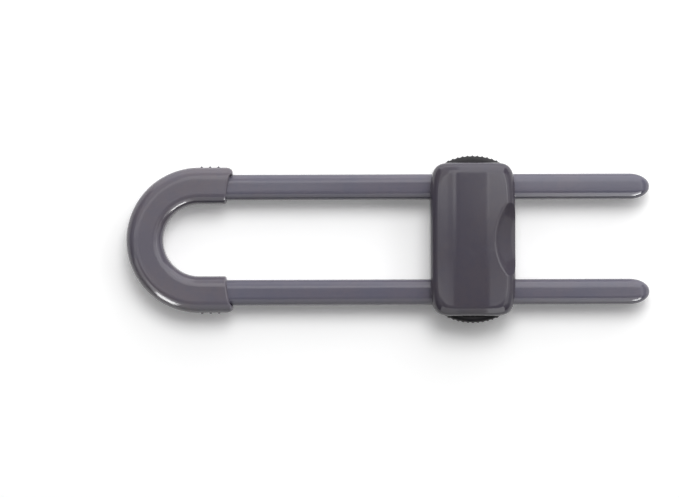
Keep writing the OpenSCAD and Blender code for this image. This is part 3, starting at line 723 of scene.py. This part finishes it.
def pad():
    """Left button: a bulging face with ribs that run over its upper edge."""
    swing = asin(PAD_W / DOME_R) + 0.04
    low, high, face_y = pad_low.z, pad_high.z, DOME_Y + DOME_R
    piece = section("button_pad_left_face", HEAD_X, face_y - 7, face_y, low, high)
    round_corner(piece, PAD_TOP_ROUND, face_y, high, 7)
    round_corner(piece, PAD_LOW_ROUND, face_y, low, 5)
    open_up(piece, "VERT")
    turned(-swing, (HEAD_X, DOME_Y))
    close_up()
    swept(piece, 2 * swing, (HEAD_X, DOME_Y, 0), 40)
    body = block("body", (HEAD_X - PAD_W, PAD_BACK, low - 1), (HEAD_X + PAD_W, face_y + 1, high + 1))
    combine(piece, body, "INTERSECT")
    round_edges(piece, 0.35, lambda e: runs(e, 2) and abs(abs(middle(e).x - HEAD_X) - PAD_W) < 0.01
                and middle(e).y > PAD_BACK + 0.1, 3)

    bpy.ops.object.select_all(action="DESELECT")
    rib_y, rib_low = face_y + RIB_OUT - RIB_R, low + RIB_FOOT
    bpy.ops.mesh.primitive_circle_add(vertices=14, radius=RIB_R, fill_type="NGON",
                                      location=(HEAD_X, rib_y, rib_low))
    rib = new_piece("rib")
    open_up(rib, "FACE")
    turn_in = PAD_TOP_ROUND + RIB_OUT - RIB_R
    bend_z = high - 0.02 - turn_in - RIB_R
    bpy.ops.mesh.extrude_region_move(TRANSFORM_OT_translate={"value": (0, 0, bend_z - rib_low)})
    bpy.ops.mesh.spin(steps=6, angle=-pi / 2, center=(HEAD_X, rib_y - turn_in, bend_z),
                      axis=(1, 0, 0))
    bpy.ops.mesh.extrude_region_move(TRANSFORM_OT_translate={"value": (0, -0.5, 0)})
    bpy.ops.mesh.select_all(action="SELECT")
    bpy.ops.mesh.remove_doubles(threshold=0.001)
    bpy.ops.mesh.normals_make_consistent(inside=False)
    close_up()
    step = asin(RIB_PITCH / DOME_R)
    ribs = [copied(rib, f"rib{n}", turn=n * step, about=(HEAD_X, DOME_Y)) for n in range(-5, 6)]
    bpy.data.objects.remove(rib)
    add(piece, *ribs)
    cut(piece, block("tongue_pocket", (HEAD_X - 5.1, PAD_BACK - 1, 11.25),
                     (HEAD_X + 5.1, PAD_BACK + 1.95, 13.25)))
    return piece


# ---- Screws and springs ----

def screw():
    """Pan-head screw with a cross recess, its head down, at the origin."""
    low, seat = SCREW_SUNK, SCREW_SUNK + SCREW_HEAD_H
    piece = rod("screw", SCREW_HEAD_R, (0, 0, low), (0, 0, seat), 40)
    round_edges(piece, 0.6, lambda e: all(abs(c.co.z - low) < 0.01 for c in e.verts), 6)
    open_up(piece, "FACE", lambda f: f.normal.z > 0.9)
    bpy.ops.mesh.inset(thickness=SCREW_HEAD_R - SCREW_R)
    bpy.ops.mesh.extrude_region_move(TRANSFORM_OT_translate={"value": (0, 0, SCREW_END - seat - 1)})
    bpy.ops.mesh.extrude_region_move(TRANSFORM_OT_translate={"value": (0, 0, 1)})
    bpy.ops.transform.resize(value=(0.2, 0.2, 1), center_override=(0, 0, SCREW_END))
    close_up()
    end = low + RECESS_DEEP
    for name, wide, deep in (("slot", RECESS_L, RECESS_T), ("slot2", RECESS_T, RECESS_L)):
        recess = block(name, (-wide, -deep, low - 1), (wide, deep, end))
        open_up(recess, "FACE", lambda f: f.normal.z > 0.9)
        bpy.ops.transform.resize(value=(0.45, 0.45, 1), center_override=(0, 0, end))
        close_up()
        cut(piece, recess)
    return piece


def screws(name, places, turns):
    """A set of screws, each turned as it was driven."""
    first = screw()
    made = [copied(first, f"{name}{n}", turn=turns[n], move=(x, y, 0))
            for n, (x, y) in enumerate(places)]
    bpy.data.objects.remove(first)
    return joined(name, *made)


def spring():
    """Left spring: a round wire wound along the button's travel."""
    out = (SPRING_HIGH.x - SPRING_LOW.x) / 2
    middle_z = (SPRING_LOW.z + SPRING_HIGH.z) / 2
    start, end = SPRING_LOW.y + WIRE_R, SPRING_HIGH.y - WIRE_R
    bpy.ops.object.select_all(action="DESELECT")
    bpy.ops.mesh.primitive_circle_add(vertices=12, radius=WIRE_R, fill_type="NOTHING",
                                      location=(out - WIRE_R, 0, 0), rotation=(pi / 2, 0, 0))
    piece = new_piece("spring_left_wire")
    wind = piece.modifiers.new("wind", "SCREW")
    wind.axis, wind.angle, wind.screw_offset = "Z", SPRING_TURNS * 2 * pi, end - start
    wind.steps = wind.render_steps = int(SPRING_TURNS * 32)
    wind.use_normal_calculate = True
    bpy.ops.object.modifier_apply(modifier=wind.name)
    open_up(piece, "EDGE", lambda e: e.is_boundary)
    bpy.ops.mesh.edge_face_add()
    close_up()
    piece.rotation_euler = (-pi / 2, 0, 0)
    piece.location = (HEAD_X, start, middle_z)
    only(piece)
    bpy.ops.object.transform_apply(location=True, rotation=True, scale=True)
    return piece


left_leg = leg()
right_leg = copied(left_leg, "rail_right_leg", mirror=True)
settle(right_leg, "u_frame", "leg_plastic", "rail_right")
settle(left_leg, "u_frame", "leg_plastic", "rail_left")
left_leg.name = "rail_left_leg"

bow_cover, bow_base = bow_shells()
settle(bow_cover, "u_frame", "bow_plastic", "bow_cover")
settle(bow_base, "u_frame", "bow_plastic", "bow_base")

head_cover, head_base = head_shells()
settle(head_cover, "lock_head", "head_plastic", "head_cover")
settle(head_base, "lock_head", "head_plastic", "head_base")

left_pad = pad()
right_pad = copied(left_pad, "button_pad_right_face", mirror=True)
settle(right_pad, "button_right", "button_plastic", "button_pad_right")
settle(left_pad, "button_left", "button_plastic", "button_pad_left")

bow_screws = screws("bow_screw_set", BOW_SCREWS, (0.3, 1.1, -0.5))
settle(bow_screws, "u_frame", "screw_steel", "bow_screws")
head_screws = screws("head_screw_set", HEAD_SCREWS, (0.7, -0.2, 1.3, 0.1))
settle(head_screws, "lock_head", "screw_steel", "head_screws")

left_spring = spring()
right_spring = copied(left_spring, "spring_right_wire", mirror=True)
settle(left_spring, "lock_head", "spring_steel", "spring_left")
settle(right_spring, "lock_head", "spring_steel", "spring_right")
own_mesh(left_spring)
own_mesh(right_spring)


# ---- Materials ----

class Wire:
    """A value in a material's nodes that can be reckoned with."""

    def __init__(self, surface, socket):
        self.surface, self.socket = surface, socket

    def maths(self, how, first, second):
        """Value of a sum, a difference or the like."""
        return self.surface.node("ShaderNodeMath", {"operation": how}, {0: first, 1: second})

    def __add__(self, other):
        return self.maths("ADD", self, other)

    def __radd__(self, other):
        return self.maths("ADD", other, self)

    def __sub__(self, other):
        return self.maths("SUBTRACT", self, other)

    def __mul__(self, other):
        return self.maths("MULTIPLY", self, other)

    def __abs__(self):
        return self.maths("ABSOLUTE", self, 0)

    def __pow__(self, other):
        return self.maths("POWER", self, other)

    def step(self, low, high, to_low=0.0, to_high=1.0):
        """Soft step from one value to another."""
        return self.surface.node("ShaderNodeMapRange", {"interpolation_type": "SMOOTHSTEP"},
                                 {0: self, 1: low, 2: high, 3: to_low, 4: to_high})


class Surface:
    """A material under way: its node tree and the pattern sources that finishes share."""

    def __init__(self, name):
        self.material = bpy.data.materials.new(name)
        self.material.use_nodes = True
        self.tree = self.material.node_tree
        self.tree.nodes.clear()
        self.place = self.node("ShaderNodeTexCoord", out="Object")

    def node(self, kind, settings=None, values=None, out=0):
        """Makes a node: its settings first, then the values or links of its sockets."""
        node = self.tree.nodes.new(kind)
        for name, value in (settings or {}).items():
            setattr(node, name, value)
        for name, value in (values or {}).items():
            if isinstance(value, Wire):
                self.tree.links.new(value.socket, node.inputs[name])
            else:
                node.inputs[name].default_value = value
        return Wire(self, node.outputs[out])

    def noise(self, scale, detail=3.0, rough=0.5, stretch=(1, 1, 1), shift=(0, 0, 0)):
        """Cloudy pattern, scale in cells per metre."""
        place = self.node("ShaderNodeMapping", values={"Vector": self.place, "Location": shift,
                                                       "Scale": stretch})
        return self.node("ShaderNodeTexNoise", values={"Vector": place, "Scale": scale,
                                                       "Detail": detail, "Roughness": rough})

    def along(self, axis):
        """Distance along an axis, in metres."""
        return self.node("ShaderNodeSeparateXYZ", values={0: self.place}, out=axis)

    def mix(self, share, first, second):
        """Blend of two colours."""
        return self.node("ShaderNodeMix", {"data_type": "RGBA"},
                         {0: share, 6: first, 7: second}, out=2)

    def bump(self, height, distance, under=None):
        """Bumps with a height pattern, distance in metres."""
        values = {"Height": height, "Distance": distance, "Strength": 1.0}
        if under:
            values["Normal"] = under
        return self.node("ShaderNodeBump", values=values)

    def finish(self, uniform, varied):
        """Closes the material with one shader: uniform values, and those that vary by a link."""
        return self.close(self.node("ShaderNodeBsdfPrincipled", values={**uniform, **varied}))

    def close(self, shader):
        """Puts a shader on the material's output."""
        out = self.tree.nodes.new("ShaderNodeOutputMaterial")
        self.tree.links.new(shader.socket, out.inputs["Surface"])
        return self.material


def rgb(*parts):
    """Linear colour from parts of 255 as a screen shows them."""
    return (*[((c / 255 + 0.055) / 1.055) ** 2.4 if c > 10 else c / 255 / 12.92 for c in parts], 1)


def moulded(name, colour, warm, cool, rough, grain, peel, scuff=0.1):
    """Injection-moulded plastic: slight flow mottling, fine mould grain, faint handling marks."""
    made = Surface(name)
    drift = made.noise(55, 3, 0.55).step(0.35, 0.65)
    fleck = made.noise(420, 2, 0.6, shift=(3, 1, 2)).step(0.42, 0.72)
    tone = made.mix(drift, colour, warm)
    tone = made.mix(fleck * 0.35, tone, cool)
    marks = made.noise(900, 3, 0.7, stretch=(0.12, 1, 1)).step(0.58, 0.75)
    cloud = made.noise(140, 3, 0.6, shift=(1, 5, 0))
    roughness = rough + (cloud - 0.5) * 0.06 + marks * scuff
    skin = made.bump(made.noise(2600, 2, 0.6), grain)
    skin = made.bump(made.noise(330, 1, 0.4), peel, under=skin)
    return made.finish({"IOR": 1.49}, {"Base Color": tone, "Roughness": roughness, "Normal": skin})


def leg_finish():
    """Satin grey plastic of the legs, the lightest and bluest of the three."""
    return moulded("leg_moulded_plastic", rgb(95, 93, 107), rgb(99, 95, 107), rgb(90, 90, 105),
                   rough=0.14, grain=5e-7, peel=3e-6)


def bow_finish():
    """Satin grey plastic of the bow."""
    return moulded("bow_moulded_plastic", rgb(94, 90, 101), rgb(98, 92, 100), rgb(89, 87, 100),
                   rough=0.14, grain=5e-7, peel=4e-6)


def head_finish():
    """Dark grey plastic of the head, glossier and less scuffed."""
    return moulded("head_glossy_plastic", rgb(72, 68, 78), rgb(75, 70, 78), rgb(68, 66, 78),
                   rough=0.10, grain=3e-7, peel=3e-6, scuff=0.06)


def button_finish():
    """Near-black ribbed plastic, with a highlight painted lighter on the outer faces of its ribs."""
    made = Surface("button_ribbed_plastic")
    across = abs(made.along("Y")) - DOME_Y / 1000
    along = made.along("X") - HEAD_X / 1000
    reach = (across * across + along * along) ** 0.5
    # Painted highlight: the outer faces of the ribs are made lighter, in patches, where light from
    # above would catch them.
    painted_rib_highlight = reach.step((DOME_R - 0.1) / 1000, (DOME_R + RIB_OUT) / 1000)
    painted_rib_highlight = painted_rib_highlight * made.noise(700, 3, 0.6).step(0.2, 0.75, 0.35, 1.0)
    speck = made.noise(1500, 3, 0.6).step(0.4, 0.8)
    tone = made.mix(speck, rgb(24, 22, 26), rgb(31, 28, 33))
    # The lighter colour here is the painted highlight on the ribs, not wear.
    tone = made.mix(painted_rib_highlight, tone, rgb(74, 69, 74))
    skin = made.bump(made.noise(3200, 3, 0.6), 9e-6)
    roughness = 0.5 + (made.noise(800, 2, 0.6) - 0.5) * 0.16 - painted_rib_highlight * 0.08
    return made.finish({"IOR": 1.47}, {"Base Color": tone, "Normal": skin, "Roughness": roughness})


def yoke_finish():
    """Natural acetal of the pawls, milky with faint flow marks."""
    made = Surface("yoke_natural_acetal")
    flow = made.noise(260, 3, 0.6, stretch=(0.4, 1, 1)).step(0.3, 0.7)
    tone = made.mix(flow, rgb(214, 212, 203), rgb(224, 222, 215))
    skin = made.bump(made.noise(2400, 2, 0.6), 3e-6)
    roughness = 0.36 + (made.noise(500) - 0.5) * 0.1
    milky = {"IOR": 1.48, "Subsurface Weight": 0.1, "Subsurface Radius": (0.002, 0.002, 0.0018)}
    return made.finish(milky, {"Base Color": tone, "Roughness": roughness, "Normal": skin})


def wire_finish():
    """Bright drawn spring wire with fine drawing lines."""
    made = Surface("spring_drawn_wire")
    lines = made.noise(2600, 2, 0.7, stretch=(1, 0.2, 1))
    tone = made.mix(made.noise(500).step(0.3, 0.7), rgb(196, 198, 203), rgb(172, 174, 180))
    return made.finish({"Metallic": 1.0}, {"Base Color": tone, "Roughness": 0.2 + lines * 0.16,
                                           "Normal": made.bump(lines, 2e-6)})


def screw_finish():
    """Zinc-plated steel, slightly cloudy and yellowed in patches."""
    made = Surface("screw_zinc_plate")
    cloud = made.noise(620, 3, 0.6).step(0.3, 0.7)
    tone = made.mix(cloud, rgb(190, 192, 194), rgb(168, 168, 164))
    return made.finish({"Metallic": 1.0}, {"Base Color": tone, "Roughness": 0.26 + cloud * 0.18,
                                           "Normal": made.bump(made.noise(3000, 2), 3e-6)})


def dress(piece, material):
    """Gives a whole piece one material."""
    if not piece.data.materials:
        piece.data.materials.append(material)
    for slot in piece.material_slots:
        slot.material = material
    for face in piece.data.polygons:
        face.material_index = 0


finish_of = {"leg_plastic": leg_finish(), "bow_plastic": bow_finish(), "head_plastic": head_finish(),
             "button_plastic": button_finish(), "yoke_plastic": yoke_finish(),
             "spring_steel": wire_finish(), "screw_steel": screw_finish()}
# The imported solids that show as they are, such as the pawl yokes, and then the pieces made here.
for entry in frame["record"]["subparts"]:
    node = bpy.data.objects.get(entry["node"])
    if node:
        for slot in node.material_slots:
            slot.material = finish_of[entry["material_slot"]]
for piece, slot in settled:
    dress(piece, finish_of[slot])


# ---- Floor, light and camera ----

def floor():
    """Plain pale floor that shows white to the camera and in reflections, and keeps the shadow."""
    bpy.ops.object.select_all(action="DESELECT")
    bpy.ops.mesh.primitive_plane_add(size=6, location=(0, 0, -0.0002))
    piece = bpy.context.active_object
    piece.name = "floor"
    made = Surface("floor_pale")
    ray = made.node("ShaderNodeLightPath", out="Is Camera Ray")
    mirror = made.node("ShaderNodeLightPath", out="Is Glossy Ray")
    through = made.node("ShaderNodeLightPath", out="Is Transmission Ray")
    seen = ray + mirror + through
    matt = made.node("ShaderNodeBsdfDiffuse", values={"Color": (0.8, 0.8, 0.8, 1)})
    pale = made.node("ShaderNodeBsdfDiffuse", values={"Color": (0.97, 0.97, 0.97, 1)})
    glow = made.node("ShaderNodeEmission", values={"Color": (1, 1, 1, 1), "Strength": 0.17})
    both = made.node("ShaderNodeAddShader", values={0: pale, 1: glow})
    shown = made.node("ShaderNodeMixShader", values={0: seen, 1: matt, 2: both})
    piece.data.materials.append(made.close(shown))


def sky():
    """Faint plain light from all round, so that nothing is quite black."""
    world = bpy.data.worlds.new("studio")
    bpy.context.scene.world = world
    world.use_nodes = True
    light = world.node_tree.nodes["Background"].inputs
    light["Color"].default_value, light["Strength"].default_value = (1, 1, 1, 1), 0.03


def softbox(name, place, size, glow, aim=(0, 0, 0.01), only_on=(), shine_only=False,
            matt_only=False):
    """Soft light that faces a point and shows as bright as glow in a mirror.

    It may reach only some pieces, and light only what shines or only what doesn't.
    """
    lamp = bpy.data.lights.new(name, "AREA")
    lamp.shape, lamp.size, lamp.size_y = "RECTANGLE", *size
    lamp.energy = 4 * glow * size[0] * size[1]
    light = bpy.data.objects.new(name, lamp)
    light.location = place
    light.rotation_euler = (Vector(aim) - Vector(place)).to_track_quat("-Z", "Y").to_euler()
    light.visible_camera = False
    light.visible_glossy, light.visible_diffuse = not matt_only, not shine_only
    bpy.context.scene.collection.objects.link(light)
    if only_on:
        lit = bpy.data.collections.new(name + "_on")
        light.light_linking.receiver_collection = lit
        for piece in only_on:
            lit.objects.link(piece)


def leaning_box(name, side, angles, across, glow):
    """Softbox on the +Y or -Y side that fills a span of degrees off the zenith.

    On the -Y side it lights only what shines, and leaves the buttons dark.
    """
    mid, half = radians(sum(angles) / 2), radians(angles[1] - angles[0]) / 2
    x = sum(across) / 2
    place = (x, side * ROOM_R * sin(mid), ROOM_R * cos(mid))
    softbox(name, place, (across[1] - across[0], 2 * ROOM_R * tan(half)), glow, (x, 0, 0),
            only_on=shiny_pieces if side < 0 else (), shine_only=side < 0)


def overhead_box(name, across, along, glow):
    """Softbox over the lock that faces straight down and shows in what shines."""
    x, y = sum(across) / 2, sum(along) / 2
    size = (across[1] - across[0], along[1] - along[0])
    softbox(name, (x, y, 1.3), size, glow, (x, y, 0), shine_only=True)


floor()
sky()
# Where the boxes stand, in metres: the room's radius, spans along X and spans along Y.
ROOM_R = 1.35
BOW_HALF, TIP_HALF = (-1.3, 0.03), (0.03, 1.3)
LEFT, RIGHT = (0.018, 0.19), (-0.19, -0.018)
shiny_pieces = [piece for piece, slot in settled if slot != "button_plastic"]
leg_pieces, bow_pieces = [left_leg, right_leg], [bow_cover, bow_base]
head_pieces = [head_cover, head_base]
softbox("key_shadow", (0.1, 0.6, 1.15), (0.55, 0.55), 5.35, (0, 0, 0), matt_only=True)
leaning_box("key_low", 1, (68, 90), BOW_HALF, 1.33)
leaning_box("key_middle", 1, (32, 68), BOW_HALF, 0.65)
leaning_box("key_high", 1, (8, 32), (-0.3, 0.03), 1.6)
leaning_box("key_high_far", 1, (8, 32), (-1.3, -0.3), 0.7)
leaning_box("key_near_high", 1, (8, 32), TIP_HALF, 1.56)
leaning_box("key_near", 1, (32, 90), TIP_HALF, 1.66)
leaning_box("fill_high", -1, (8, 32), (-1.3, 1.3), 0.13)
leaning_box("fill_tips", -1, (32, 90), (0.095, 1.3), 1.9)
leaning_box("fill_head", -1, (32, 90), (0.03, 0.095), 0.6)
leaning_box("fill_far", -1, (32, 90), BOW_HALF, 1.05)
softbox("fill_left_leg", (0.7, -1.18, 0.66), (1.2, 1.5), 1.4, (0.7, 0, 0),
        only_on=[left_leg], shine_only=True)
softbox("fill_bow", (-0.9, -0.65, 0.72), (0.9, 0.8), 1.15, only_on=bow_pieces, shine_only=True)
overhead_box("above_far_left", (-1.3, -0.2), LEFT, 1.3)
overhead_box("above_far_right", (-1.3, -0.2), RIGHT, 1.0)
overhead_box("above_bow_left", (-0.2, -0.085), LEFT, 0.75)
overhead_box("above_bow_right", (-0.2, -0.085), RIGHT, 0.75)
overhead_box("above_bow_arm", (-0.085, -0.02), LEFT, 1.85)
overhead_box("above_head_edge", (0.088, 0.14), LEFT, 2.24)
overhead_box("above_tips_left", (0.14, 1.3), LEFT, 1.54)
overhead_box("above_tips_right", (0.14, 1.3), RIGHT, 0.9)
softbox("above_head", (0.0, 0.104, 1.28), (1.2, 0.172), 0.3, (0, 0.104, 0),
        only_on=head_pieces, shine_only=True)
softbox("tip_side", (1.226, 0, 1.028), (1.2, 0.7), 0.88)
softbox("tip_side_low", (1.545, 0, 0.414), (1.2, 0.7), 0.38)
softbox("bow_side", (-1.226, 0, 1.028), (1.2, 0.7), 0.18)
softbox("small_box_bow", (-0.56, -0.84, 0.33), (0.33, 0.60), 12.5,
        only_on=bow_pieces, shine_only=True)
softbox("small_box_tips", (0.43, -0.85, 0.30), (0.46, 0.34), 12.0,
        only_on=leg_pieces + bow_pieces, shine_only=True)

bpy.context.scene.view_settings.view_transform = "Standard"
# The photograph looks straight down, and its lock lies turned by 0.19 degrees.
camera = bpy.data.objects.new("camera", bpy.data.cameras.new("camera"))
bpy.context.scene.collection.objects.link(camera)
bpy.context.scene.camera = camera
camera.location = (-0.01672, -0.00318, 1.51)
camera.rotation_euler = (0, 0, radians(-0.19))
camera.data.lens, camera.data.sensor_width = 231.4, 36
camera.data.clip_start, camera.data.clip_end = 0.01, 20
